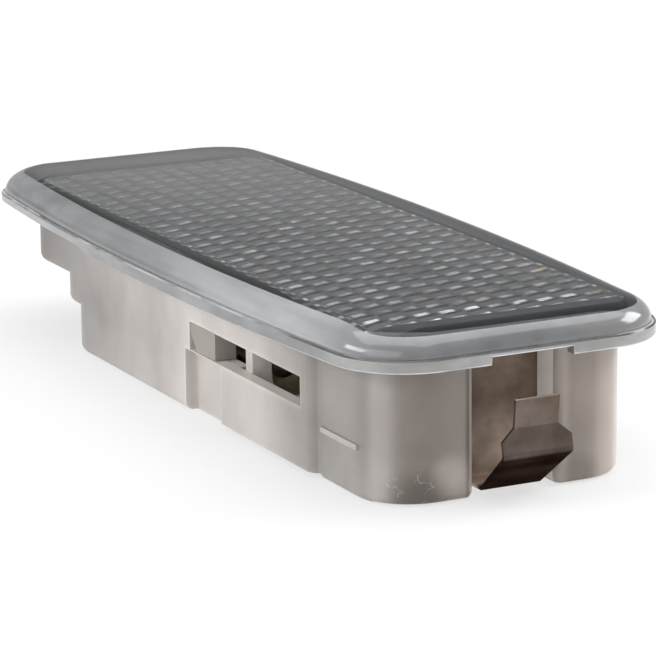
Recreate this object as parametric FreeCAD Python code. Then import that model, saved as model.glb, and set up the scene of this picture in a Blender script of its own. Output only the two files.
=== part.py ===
import FreeCAD, Part
import math
import os
from FreeCAD import Vector

# Lens: a snap-on cover with bowed sides
lens_length = 90.8
lens_width = 35.4
lens_side_bow = 2.3
lens_end_bow = 0.15
lens_corner_radius = 7.3
lens_rise = 2.7
lens_plate = 1.8
bevel_width = 3.2
lip_height = 1.2
skirt_drop = 0.9
skirt_wall = 1.2
skirt_step = 0.3
skirt_step_x = -14.2

# Prism field under the lens
prism_pitch = 2.5
prism_columns = 30
prism_rows = 10
prism_depth = 0.6
prism_tip = 0.6
prism_sink = 0.1
prism_field_x = 1.8
prism_field_margin = 0.15
prism_end_margin = 0.9

# Housing: a translucent tray whose far end steps back towards the base
housing_height = 13.8
housing_width = 27.6
near_width = 26.2
near_end_x = 42.3
width_step_x = 30.0
upper_far_x = -37.9
middle_far_x = -30.0
lower_far_x = -27.2
middle_level = 4.75
upper_level = 7.6
corner_radius = 4.5
near_corner_radius = 5.5
base_edge_radius = 0.8
wall = 1.3
shelf = 1.2
floor_top = 1.7
base_relief = 0.5
base_relief_start = 10.5
base_relief_end = 30.3
foot_end = 38.5
toe_relief = 0.2

# Recess for the spring at the near end
recess_width = 8.3
recess_y = 0.25
recess_depth = 4.0
recess_edge_radius = 0.8
clip_slot_depth = 0.5
clip_slot_low = 1.6
clip_slot_play = 0.1

# Lug under the far end of the lens, which hooks behind the panel
lug_width = 10.0
lug_reach = 3.6
lug_top = 10.8
lug_height = 1.4

# Side windows, the groove below the front one and a plain raised bar
window_start = 3.6
window_end = 27.6
window_sill = 6.3
window_head = 9.1
groove_start = 2.5
groove_end = 10.5
groove_depth = 1.2
bar_start = 30.6
bar_length = 7.0
bar_level = 4.6
bar_height = 0.5
bar_proud = 0.2

# Snap tongues of the lens, behind the windows
tongue_start = 3.7
tongue_width = 5.5
tongue_wall = 0.9
tongue_play = 0.1
barb_proud = 1.2
barb_play = 0.1
tongue_chamfer = 1.4

# Festoon bulb, its cradle walls and contacts
bulb_from_wall = 5.0
bulb_z = 6.0
cradle_near_x = 14.0
cradle_wall = 1.4
cradle_half_width = 4.8
cradle_height = 11.4
cradle_slot_radius = 2.9
contact_sheet = 0.4
contact_width = 2.4
contact_setback = 1.8
contact_plate_width = 5.6
contact_plate_top = 10.2
contact_hole_radius = 1.5
cap_radius = 3.0
cap_length = 4.6
cap_tip_radius = 0.8
cap_play = 0.05
glass_radius = 3.2
glass_neck_radius = 2.4
glass_wall = 0.5
filament_radius = 0.45
filament_sag = 0.8
lead_radius = 0.25

# Plug socket in the lower far end, with two blades
socket_from_wall = 6.3
socket_width = 10.0
socket_depth = 8.1
socket_roof = 6.6
socket_wall = 1.3
blade_spacing = 4.8
blade_level = 4.1
blade_length = 3.6
blade_play = 0.1

# Reflector tray
reflector_sheet = 0.5
reflector_bed = 15.0
reflector_top = 10.4
reflector_play = 0.3

# Spring clip of bent strip
clip_sheet = 0.3
clip_y = -0.1
clip_width = 7.0
clip_top_width = 4.4
clip_toe_width = 5.9
clip_foot_level = 0.75
clip_foot_inset = 0.4
clip_nose_reach = 4.5
clip_nose_level = 4.74
clip_waist_reach = 4.0
clip_waist_level = 7.3
clip_shoulder_level = 6.2
clip_tip_reach = 4.3
clip_tip_level = 9.9
clip_leg_top = 11.8
clip_bend_radius = 0.5

# Places that follow from the sizes above
bulb_y = -housing_width / 2 + wall + bulb_from_wall
socket_y = housing_width / 2 - wall - socket_from_wall
cradle_far_x = lower_far_x + socket_depth + socket_wall
near_plate_x = cradle_near_x - cradle_wall / 2 - contact_setback - contact_sheet
far_plate_x = cradle_far_x + cradle_wall / 2 + contact_sheet
bulb_x = (near_plate_x + far_plate_x) / 2
cone_start = (near_plate_x - far_plate_x) / 2 - (cap_radius - contact_hole_radius) - cap_play
cap_back = cone_start - cap_length
glass_end = cap_back + cap_length * 0.6
recess_back_x = near_end_x - recess_depth
clip_foot_x = near_end_x - clip_foot_inset
clip_nose_x = near_end_x + clip_nose_reach
clip_waist_x = near_end_x + clip_waist_reach
clip_tip_x = near_end_x + clip_tip_reach


def box(x0, x1, y0, y1, z0, z1):
    return Part.makeBox(x1 - x0, y1 - y0, z1 - z0, Vector(x0, y0, z0))


def upright_edges(shape):
    """Edges that stand along Z."""
    found = []
    for edge in shape.Edges:
        a, b = edge.Vertexes[0].Point, edge.Vertexes[-1].Point
        if abs(a.x - b.x) < 1e-6 and abs(a.y - b.y) < 1e-6:
            found.append(edge)
    return found


def edges_near(shape, pick):
    return [edge for edge in shape.Edges if pick(edge.CenterOfMass)]


def rounded_end_block(x0, x1, half_width, z0, z1, far_radius, near_radius, inset=0.0):
    """A block with its upright corners rounded, each end by its own radius."""
    block = box(x0 + inset, x1 - inset, -half_width + inset, half_width - inset, z0, z1)
    middle = (x0 + x1) / 2
    if far_radius > inset:
        far = [e for e in upright_edges(block) if e.CenterOfMass.x < middle]
        block = block.makeFillet(far_radius - inset, far)
    if near_radius > inset:
        near = [e for e in upright_edges(block) if e.CenterOfMass.x > middle]
        block = block.makeFillet(near_radius - inset, near)
    return block


def bowed_prism(inset, z0, z1):
    """The lens outline, moved inwards by inset: four bowed sides with rounded corners."""
    a = lens_length / 2 - inset
    b = lens_width / 2 - inset
    ca = a - lens_end_bow
    cb = b - lens_side_bow
    corners = [Vector(-ca, -cb, z0), Vector(ca, -cb, z0), Vector(ca, cb, z0), Vector(-ca, cb, z0)]
    crowns = [Vector(0, -b, z0), Vector(a, 0, z0), Vector(0, b, z0), Vector(-a, 0, z0)]
    arcs = []
    for i in range(4):
        arcs.append(Part.Arc(corners[i], crowns[i], corners[(i + 1) % 4]).toShape())
    prism = Part.Face(Part.Wire(arcs)).extrude(Vector(0, 0, z1 - z0))
    return prism.makeFillet(lens_corner_radius - inset, upright_edges(prism))


def outline_wire(inset, z):
    prism = bowed_prism(inset, z - 1.0, z)
    return max(prism.Faces, key=lambda f: f.CenterOfMass.z).OuterWire


def prism_slab(z_top, z_valley, z_apex):
    """A slab whose underside is a grid of four-sided prisms with flat tips."""
    x0 = prism_field_x - prism_columns * prism_pitch / 2
    y0 = -prism_rows * prism_pitch / 2
    x1 = x0 + prism_columns * prism_pitch
    y1 = y0 + prism_rows * prism_pitch
    faces = []

    def face(*points):
        faces.append(Part.Face(Part.makePolygon(list(points) + [points[0]])))

    for i in range(prism_columns):
        for j in range(prism_rows):
            left = x0 + i * prism_pitch
            front = y0 + j * prism_pitch
            ring = [Vector(left, front, z_valley), Vector(left + prism_pitch, front, z_valley),
                    Vector(left + prism_pitch, front + prism_pitch, z_valley),
                    Vector(left, front + prism_pitch, z_valley)]
            middle = Vector(left + prism_pitch / 2, front + prism_pitch / 2, z_valley)
            drop = Vector(0, 0, z_apex - z_valley)
            tip = [middle + (corner - middle) * prism_tip + drop for corner in ring]
            face(*tip)
            for k in range(4):
                face(ring[k], ring[(k + 1) % 4], tip[(k + 1) % 4], tip[k])
    face(Vector(x0, y0, z_top), Vector(x1, y0, z_top), Vector(x1, y1, z_top), Vector(x0, y1, z_top))
    for j in (y0, y1):
        row = [Vector(x0 + i * prism_pitch, j, z_valley) for i in range(prism_columns + 1)]
        face(*(row + [Vector(x1, j, z_top), Vector(x0, j, z_top)]))
    for i in (x0, x1):
        row = [Vector(i, y0 + j * prism_pitch, z_valley) for j in range(prism_rows + 1)]
        face(*(row + [Vector(i, y1, z_top), Vector(i, y0, z_top)]))
    shell = Part.makeShell(faces)
    shell.sewShape()
    slab = Part.makeSolid(shell)
    if slab.Volume < 0:
        slab.reverse()
    return slab


def snap_tongue(side):
    """A tongue of the lens that hangs inside a side wall, with a barb in the window; side is -1 or 1."""
    outer = housing_width / 2 - wall - tongue_play
    inner = outer - tongue_wall
    tip = window_sill + barb_play
    x1 = tongue_start + tongue_width
    outline = [Vector(tongue_start, 0, housing_height), Vector(x1, 0, housing_height), Vector(x1, 0, tip),
               Vector(tongue_start + tongue_chamfer, 0, tip), Vector(tongue_start, 0, tip + tongue_chamfer)]
    outline.append(outline[0])
    blade = Part.Face(Part.makePolygon(outline))
    blade.translate(Vector(0, inner, 0))
    tongue = blade.extrude(Vector(0, tongue_wall, 0))
    barb = Part.Face(Part.makePolygon(outline))
    barb.translate(Vector(0, outer, 0))
    barb = barb.extrude(Vector(0, barb_proud + tongue_play, 0))
    keep = box(tongue_start, x1, outer, outer + barb_proud + tongue_play, tip, window_head - barb_play)
    tongue = tongue.fuse(barb.common(keep))
    root = box(tongue_start, x1, inner, prism_rows * prism_pitch / 2 + prism_field_margin + tongue_wall,
               housing_height, housing_height + lens_rise - lens_plate + prism_sink)
    tongue = tongue.fuse(root)
    if side < 0:
        tongue = tongue.mirror(Vector(0, 0, 0), Vector(0, 1, 0))
    return tongue


def make_lens():
    seat = housing_height
    skirt = seat - skirt_drop
    top = seat + lens_rise
    lip_top = skirt + lip_height
    bevel_rise = top - lip_top
    body = bowed_prism(0.0, skirt, lip_top)
    rings = []
    for turn in range(5):
        angle = math.radians(turn * 22.5)
        rings.append(outline_wire(bevel_width * (1 - math.cos(angle)), lip_top + bevel_rise * math.sin(angle)))
    body = body.fuse(Part.makeLoft(rings, True, True))
    body = body.cut(bowed_prism(skirt_wall, skirt - 1, seat))
    half_x = prism_columns * prism_pitch / 2 + prism_end_margin
    half_y = prism_rows * prism_pitch / 2 + prism_field_margin
    underside = top - lens_plate
    hollow = box(prism_field_x - half_x, prism_field_x + half_x, -half_y, half_y, skirt - 1, underside)
    body = body.cut(hollow)
    notch_y = recess_y - recess_width / 2
    reach = lens_length / 2
    body = body.cut(box(reach - 3 * skirt_wall, reach + 1, notch_y, notch_y + recess_width, skirt - 1, seat))
    across = lens_width / 2 + 1
    body = body.cut(box(-reach - 1, skirt_step_x, -across, across, skirt - 1, skirt + skirt_step))
    body = body.fuse(prism_slab(underside + prism_sink, underside - prism_sink, underside - prism_depth))
    for side in (-1, 1):
        body = body.fuse(snap_tongue(side))
    return body.removeSplitter()


def base_round(block, z0):
    """Rounds the lower edge of a block all the way round."""
    return block.makeFillet(base_edge_radius, edges_near(block, lambda c: abs(c.z - z0) < 1e-6))


def make_housing():
    half = housing_width / 2
    near_half = near_width / 2
    overlap = 2 * corner_radius
    body = base_round(rounded_end_block(width_step_x - overlap, near_end_x, near_half, 0, housing_height,
                                        0, near_corner_radius), 0)
    steps = [(lower_far_x, 0), (middle_far_x, middle_level), (upper_far_x, upper_level)]
    for far_x, level in steps:
        block = rounded_end_block(far_x, width_step_x, half, level, housing_height, corner_radius, wall)
        body = body.fuse(base_round(block, level))
    inner_half = half - wall
    near_inner = near_half - wall
    tops = housing_height + 1
    hollow = rounded_end_block(width_step_x - overlap, near_end_x, near_half, floor_top, tops,
                               0, near_corner_radius, wall)
    recess_low = recess_y - recess_width / 2
    recess_high = recess_y + recess_width / 2
    hollow = hollow.cut(box(recess_back_x - wall, near_end_x, recess_low - wall, recess_high + wall, 0, tops))
    inner_steps = [(lower_far_x, floor_top), (middle_far_x, middle_level + shelf), (upper_far_x, upper_level + shelf)]
    for far_x, level in inner_steps:
        hollow = hollow.fuse(rounded_end_block(far_x, width_step_x, half, level, tops, corner_radius, wall, wall))
    # the plug socket keeps a block of its own in the hollow
    socket_half = socket_width / 2
    pocket_end = lower_far_x + socket_depth
    hollow = hollow.cut(box(lower_far_x, pocket_end + socket_wall, socket_y - socket_half - socket_wall, half,
                            0, socket_roof + socket_wall))
    # the wall is thicker behind the groove
    pad_inner = half - groove_depth - wall
    hollow = hollow.cut(box(groove_start - wall, groove_end + wall, -half, -pad_inner, 0, window_sill - barb_play))
    # cradle walls across the front half of the tray
    for x in (cradle_near_x, cradle_far_x):
        cradle = box(x - cradle_wall / 2, x + cradle_wall / 2, -half, bulb_y + cradle_half_width, 0, cradle_height)
        seat = Part.makeCylinder(cradle_slot_radius, 2 * cradle_wall, Vector(x - cradle_wall, bulb_y, bulb_z),
                                 Vector(1, 0, 0))
        slot = box(x - cradle_wall, x + cradle_wall, bulb_y - cradle_slot_radius, bulb_y + cradle_slot_radius,
                   bulb_z, tops)
        hollow = hollow.cut(cradle.cut(seat).cut(slot))
    body = body.cut(hollow)
    # outside cuts
    body = body.cut(box(recess_back_x, near_end_x + 1, recess_low, recess_high, -1, tops))
    mouth = edges_near(body, lambda c: abs(c.x - near_end_x) < 1e-6
                       and abs(abs(c.y - recess_y) - recess_width / 2) < 1e-6)
    body = body.makeFillet(recess_edge_radius, mouth)
    body = body.cut(box(recess_back_x, recess_back_x + clip_sheet + 2 * clip_slot_play,
                        recess_low - clip_slot_depth, recess_high + clip_slot_depth,
                        clip_slot_low - clip_slot_play, clip_leg_top + clip_slot_play))
    body = body.cut(box(base_relief_start, base_relief_end, -half - 1, half + 1, -1, base_relief))
    body = body.cut(box(foot_end, near_end_x + 1, -half - 1, half + 1, -1, toe_relief))
    body = body.cut(box(groove_start, groove_end, -half - 1, -half + groove_depth, -1, window_sill - barb_play))
    for side in (-1, 1):
        y0, y1 = sorted((side * (inner_half - tongue_play), side * (half + 1)))
        body = body.cut(box(window_start, window_end, y0, y1, window_sill, window_head))
    body = body.cut(box(middle_far_x - 1, pocket_end, socket_y - socket_half, socket_y + socket_half,
                        floor_top, socket_roof))
    for y in blade_places():
        body = body.cut(box(pocket_end - 1, pocket_end + socket_wall + 1, y - contact_width / 2 - blade_play,
                            y + contact_width / 2 + blade_play, blade_level - contact_sheet / 2 - blade_play,
                            blade_level + contact_sheet / 2 + blade_play))
    bar = box(bar_start, bar_start + bar_length, -near_half - bar_proud, -near_half + wall / 2,
              bar_level, bar_level + bar_height)
    body = body.fuse(bar)
    # lug at the far end
    lug = box(upper_far_x - lug_reach, upper_far_x + wall, -lug_width / 2, lug_width / 2,
              lug_top - lug_height, lug_top)
    lug = lug.makeFillet(lug_height / 3, edges_near(lug, lambda c: abs(c.x - upper_far_x + lug_reach) < 1e-6))
    return body.fuse(lug).removeSplitter()


def blade_places():
    return (socket_y - blade_spacing / 2, socket_y + blade_spacing / 2)


def make_contact(near):
    """A stamped strip: bulb plate, floor run and plug blade."""
    blade_y = blade_places()[1] if near else blade_places()[0]
    half_w = contact_width / 2
    half_p = contact_plate_width / 2
    top = floor_top + contact_sheet
    if near:
        face_x = near_plate_x
        run_x0 = face_x + contact_sheet - contact_width
    else:
        face_x = far_plate_x - contact_sheet
        run_x0 = face_x
    plate = box(face_x, face_x + contact_sheet, bulb_y - half_p, bulb_y + half_p, floor_top, contact_plate_top)
    hole = Part.makeCylinder(contact_hole_radius, 3 * contact_sheet, Vector(face_x - contact_sheet, bulb_y, bulb_z),
                             Vector(1, 0, 0))
    strip = plate.cut(hole)
    strip = strip.fuse(box(run_x0, run_x0 + contact_width, bulb_y - half_w, blade_y + half_w, floor_top, top))
    riser_x = lower_far_x + socket_depth + socket_wall + contact_sheet
    y0, y1 = blade_y - half_w, blade_y + half_w
    strip = strip.fuse(box(riser_x, run_x0 + contact_width, y0, y1, floor_top, top))
    blade_low = blade_level - contact_sheet / 2
    blade_high = blade_level + contact_sheet / 2
    strip = strip.fuse(box(riser_x, riser_x + contact_sheet, y0, y1, floor_top, blade_high))
    tip_x = lower_far_x + socket_depth - blade_length
    blade = box(tip_x, riser_x + contact_sheet, y0, y1, blade_low, blade_high)
    blade = blade.makeChamfer(contact_sheet / 3, edges_near(blade, lambda c: abs(c.x - tip_x) < 1e-6))
    return strip.fuse(blade).removeSplitter()


def revolve_on_bulb(points):
    """Turns a profile of (x, radius) points about the bulb's axis."""
    ring = [Vector(x, bulb_y, bulb_z + r) for x, r in points]
    face = Part.Face(Part.makePolygon(ring + [ring[0]]))
    return face.revolve(Vector(0, bulb_y, bulb_z), Vector(1, 0, 0), 360)


def make_cap(sign):
    cone_end = cone_start + cap_radius - cap_tip_radius
    points = [(glass_end, 0), (glass_end, glass_neck_radius), (cap_back, glass_neck_radius), (cap_back, cap_radius),
              (cone_start, cap_radius), (cone_end, cap_tip_radius), (cone_end, 0)]
    return revolve_on_bulb([(bulb_x + sign * x, r) for x, r in points])


def make_glass():
    shoulder = glass_radius - glass_neck_radius
    wide = cap_back - 2 * shoulder
    outer = [(-glass_end, glass_neck_radius), (-cap_back, glass_neck_radius), (-wide, glass_radius),
             (wide, glass_radius), (cap_back, glass_neck_radius), (glass_end, glass_neck_radius)]
    inner = [(x, r - glass_wall) for x, r in reversed(outer)]
    return revolve_on_bulb([(bulb_x + x, r) for x, r in outer + inner])


def make_filament():
    """The coil as one slim rod on two lead wires that reach the caps."""
    half = cap_back * 0.55
    z = bulb_z + filament_sag
    coil = Part.makeCylinder(filament_radius, 2 * half, Vector(bulb_x - half, bulb_y, z), Vector(1, 0, 0))
    body = coil
    for sign in (-1, 1):
        start = Vector(bulb_x + sign * (half - filament_radius), bulb_y, z)
        end = Vector(bulb_x + sign * glass_end, bulb_y, bulb_z)
        lead = Part.makeCylinder(lead_radius, (end - start).Length, start, end - start)
        trim = box(*sorted((end.x, end.x + sign * 2)), bulb_y - 2, bulb_y + 2, bulb_z - 2, bulb_z + 2)
        body = body.fuse(lead).cut(trim)
    return body


def make_reflector():
    """A tray with a flat bed under the bulb and a wing that rises to the back wall."""
    low = floor_top + contact_sheet
    t = reflector_sheet
    front_y = -(housing_width / 2 - groove_depth - wall) + reflector_play
    back_y = housing_width / 2 - wall - tongue_play - tongue_wall - reflector_play
    bend_y = front_y + reflector_bed
    slope = math.atan2(reflector_top - low, back_y - bend_y)
    shift = t * math.tan(slope / 2)
    outline = [(front_y, low), (bend_y, low), (back_y, reflector_top),
               (back_y - t / math.sin(slope), reflector_top), (bend_y - shift, low + t), (front_y, low + t)]
    x0 = far_plate_x + reflector_play
    x1 = near_plate_x - reflector_play
    wire = Part.makePolygon([Vector(x0, y, z) for y, z in outline + outline[:1]])
    tray = Part.Face(wire).extrude(Vector(x1 - x0, 0, 0))
    return tray


def bent_strip(path, sheet, width):
    """A strip of sheet along a path of (x, z) points, with rounded bends."""
    def side(offset):
        points = []
        for i, (x, z) in enumerate(path):
            normals = []
            for a, b in ((i - 1, i), (i, i + 1)):
                if a >= 0 and b < len(path):
                    dx, dz = path[b][0] - path[a][0], path[b][1] - path[a][1]
                    size = math.hypot(dx, dz)
                    normals.append((-dz / size, dx / size))
            nx = sum(n[0] for n in normals) / len(normals)
            nz = sum(n[1] for n in normals) / len(normals)
            square = nx * nx + nz * nz
            points.append(Vector(x + offset * nx / square, -width / 2, z + offset * nz / square))
        return points

    ring = side(sheet / 2) + side(-sheet / 2)[::-1]
    strip = Part.Face(Part.makePolygon(ring + [ring[0]])).extrude(Vector(0, width, 0))
    bends = []
    for edge in strip.Edges:
        c = edge.CenterOfMass
        along = abs(edge.Vertexes[0].Point.y - edge.Vertexes[-1].Point.y) > width / 2
        inside = any(math.hypot(c.x - x, c.z - z) < 1.5 * sheet for x, z in path[1:-1])
        if along and inside:
            bends.append(edge)
    return strip.makeFillet(clip_bend_radius, bends)


def make_clip():
    leg_x = recess_back_x + clip_slot_play + clip_sheet / 2
    path = [(leg_x, clip_leg_top), (leg_x, clip_foot_level), (clip_foot_x, clip_foot_level),
            (clip_nose_x, clip_nose_level), (clip_waist_x, clip_waist_level), (clip_tip_x, clip_tip_level)]
    strip = bent_strip(path, clip_sheet, clip_width)
    top, full, toe = clip_top_width / 2, clip_width / 2, clip_toe_width / 2
    low = clip_foot_level - 2 * clip_sheet
    front = [(-toe, low), (-full, clip_nose_level), (-full, clip_shoulder_level), (-top, clip_waist_level),
             (-top, clip_tip_level + 1), (top, clip_tip_level + 1), (top, clip_waist_level),
             (full, clip_shoulder_level), (full, clip_nose_level), (toe, low)]
    wire = Part.makePolygon([Vector(clip_foot_x, y, z) for y, z in front + front[:1]])
    outline = Part.Face(wire).extrude(Vector(clip_nose_x - clip_foot_x + 2, 0, 0))
    foot = box(leg_x - 1, clip_foot_x, -toe, toe, low, clip_leg_top + 1)
    strip = strip.common(outline.fuse(foot))
    strip.translate(Vector(0, clip_y, 0))
    # the upright leg is wider and slides into slots in the sides of the recess
    reach = recess_width / 2 + clip_slot_depth - clip_slot_play
    leg = box(leg_x - clip_sheet / 2, leg_x + clip_sheet / 2, recess_y - reach, recess_y + reach,
              clip_slot_low, clip_leg_top)
    return strip.fuse(leg).removeSplitter()


parts = {
    "lens": make_lens(),
    "housing": make_housing(),
    "reflector": make_reflector(),
    "bulb_glass": make_glass(),
    "bulb_filament": make_filament(),
    "bulb_cap_near": make_cap(1),
    "bulb_cap_far": make_cap(-1),
    "contact_near": make_contact(True),
    "contact_far": make_contact(False),
    "retaining_clip": make_clip(),
}

os.makedirs("parts", exist_ok=True)
for name, shape in parts.items():
    print(name, "valid", shape.isValid(), "solids", len(shape.Solids), "volume", round(shape.Volume, 1))
    shape.exportStep("parts/" + name + ".step")
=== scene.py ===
import math

import bmesh
import bpy
from mathutils import Matrix, Vector


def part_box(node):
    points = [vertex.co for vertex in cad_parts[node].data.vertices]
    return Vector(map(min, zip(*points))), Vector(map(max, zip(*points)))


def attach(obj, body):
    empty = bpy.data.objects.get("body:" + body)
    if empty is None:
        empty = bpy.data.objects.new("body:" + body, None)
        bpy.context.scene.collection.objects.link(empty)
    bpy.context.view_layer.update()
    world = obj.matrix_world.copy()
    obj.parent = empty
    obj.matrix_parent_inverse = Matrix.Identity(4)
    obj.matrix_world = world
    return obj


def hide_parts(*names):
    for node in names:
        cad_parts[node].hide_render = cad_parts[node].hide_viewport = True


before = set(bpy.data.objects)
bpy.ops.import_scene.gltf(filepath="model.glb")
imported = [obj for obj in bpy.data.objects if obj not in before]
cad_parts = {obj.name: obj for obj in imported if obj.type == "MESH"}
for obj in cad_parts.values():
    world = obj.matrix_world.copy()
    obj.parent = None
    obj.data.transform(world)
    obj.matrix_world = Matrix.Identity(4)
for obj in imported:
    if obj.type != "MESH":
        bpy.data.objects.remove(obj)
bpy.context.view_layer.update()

# Housing tray.
# One injection moulding in natural, slightly smoky polycarbonate, about 1.3 mm thick, so light
# soaks through it. The far end steps back and the near end has a recess for the spring.
mm = 0.001


def grey(level):
    """A neutral tone, used as a colour or as a share."""
    return (level, level, level)


class Finish:
    """The nodes of one finish: its shader, and patterns laid on the piece's own coordinates."""

    def __init__(self, owner, shader="Principled BSDF", place="Object"):
        owner.use_nodes = True
        self.owner = owner
        self.nodes = owner.node_tree.nodes
        self.links = owner.node_tree.links
        self.shader = self.nodes[shader]
        self.place = self.nodes.new("ShaderNodeTexCoord").outputs[place]

    def feed(self, socket, value):
        """Links a pattern to a socket, or sets a plain value on it."""
        if isinstance(value, bpy.types.NodeSocket):
            self.links.new(value, socket)
        else:
            socket.default_value = value

    def set(self, name, value):
        """Gives one of the shader's own sockets a pattern or a plain value."""
        self.feed(self.shader.inputs[name], value)

    def node(self, kind, output, inputs, **settings):
        """Adds a node with its settings and inputs and returns one of its outputs."""
        node = self.nodes.new(kind)
        for name, value in settings.items():
            setattr(node, name, value)
        for key, value in inputs.items():
            self.feed(node.inputs[key], value)
        return node.outputs[output]

    def reckon(self, operation, *values):
        """One step of arithmetic on patterns and plain numbers."""
        return self.node("ShaderNodeMath", "Value", dict(enumerate(values)), operation=operation)

    def noise(self, scale, detail=4.0, stretch=(1, 1, 1), roughness=0.55):
        """A cloudy pattern; stretch above 1 packs it tighter along that axis."""
        place = self.node("ShaderNodeMapping", "Vector", {"Vector": self.place, "Scale": stretch})
        return self.node("ShaderNodeTexNoise", "Fac",
                         {"Vector": place, "Scale": scale, "Detail": detail, "Roughness": roughness})

    def ramp(self, source, stops):
        """Maps a 0 to 1 value to colours given as (position, colour) stops."""
        node = self.nodes.new("ShaderNodeValToRGB")
        elements = node.color_ramp.elements
        while len(elements) < len(stops):
            elements.new(0.5)
        for element, (position, colour) in zip(elements, stops):
            element.position = position
            element.color = (*colour, 1.0)
        self.feed(node.inputs["Fac"], source)
        return node.outputs["Color"]

    def fade(self, source, first, last, kind="LINEAR"):
        """Maps the range first to last to 0 to 1."""
        return self.node("ShaderNodeMapRange", "Result",
                         {"Value": source, "From Min": first, "From Max": last}, interpolation_type=kind)

    def spread(self, source, low, high):
        """Maps a cloudy pattern to the range low to high."""
        return self.node("ShaderNodeMapRange", "Result",
                         {"Value": source, "From Min": 0.3, "From Max": 0.7, "To Min": low, "To Max": high})

    def bump(self, height, strength, distance):
        """Fine relief in the surface."""
        self.set("Normal", self.node("ShaderNodeBump", "Normal",
                                     {"Height": height, "Strength": strength, "Distance": distance}))

    def along(self, axis, low, high):
        """0 to 1 along one of the piece's own axes, between two places given in metres."""
        return self.fade(self.node("ShaderNodeSeparateXYZ", axis, {"Vector": self.place}), low, high)

    def blend(self, kind, factor, first, second):
        """Mixes two colours; the factor is a number or a pattern."""
        return self.node("ShaderNodeMix", "Result", {"Factor": factor, "A": first, "B": second},
                         data_type="RGBA", blend_type=kind)

    def times(self, first, second):
        """One pattern toned by another."""
        return self.blend("MULTIPLY", 1.0, first, second)

    def plus(self, first, second):
        """One pattern with the light of another added."""
        return self.blend("ADD", 1.0, first, second)

    def edge_light(self, radius):
        """0 on flat faces, up to 1 within a radius of the edges: a mask for painted light where light
        gathers in clear plastic.
        """
        rounded = self.node("ShaderNodeBevel", "Normal", {"Radius": radius}, samples=6)
        facing = self.node("ShaderNodeNewGeometry", "Normal", {})
        likeness = self.node("ShaderNodeVectorMath", "Value", {0: rounded, 1: facing},
                             operation="DOT_PRODUCT")
        return self.fade(likeness, 1.0, 0.75)

    def spot(self, middle, reach):
        """1 at one place of a piece, fading to 0 at a distance of reach."""
        away = self.node("ShaderNodeVectorMath", "Value", {0: self.place, 1: middle},
                         operation="DISTANCE")
        return self.fade(away, reach, reach * 0.25, "SMOOTHSTEP")

    def fibres(self, middle, reach):
        """Thin curved dust hairs round one spot: 1 on a hair, 0 elsewhere."""
        hair = self.ramp(self.noise(1100, 1), [(0.488, grey(0.0)), (0.497, grey(1.0)), (0.503, grey(1.0)),
                                               (0.512, grey(0.0))])
        close = self.ramp(self.spot(middle, reach), [(0.0, grey(0.0)), (0.6, grey(1.0))])
        gaps = self.ramp(self.noise(640, 1), [(0.47, grey(0.0)), (0.53, grey(1.0))])
        return self.times(self.times(hair, close), gaps)


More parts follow.
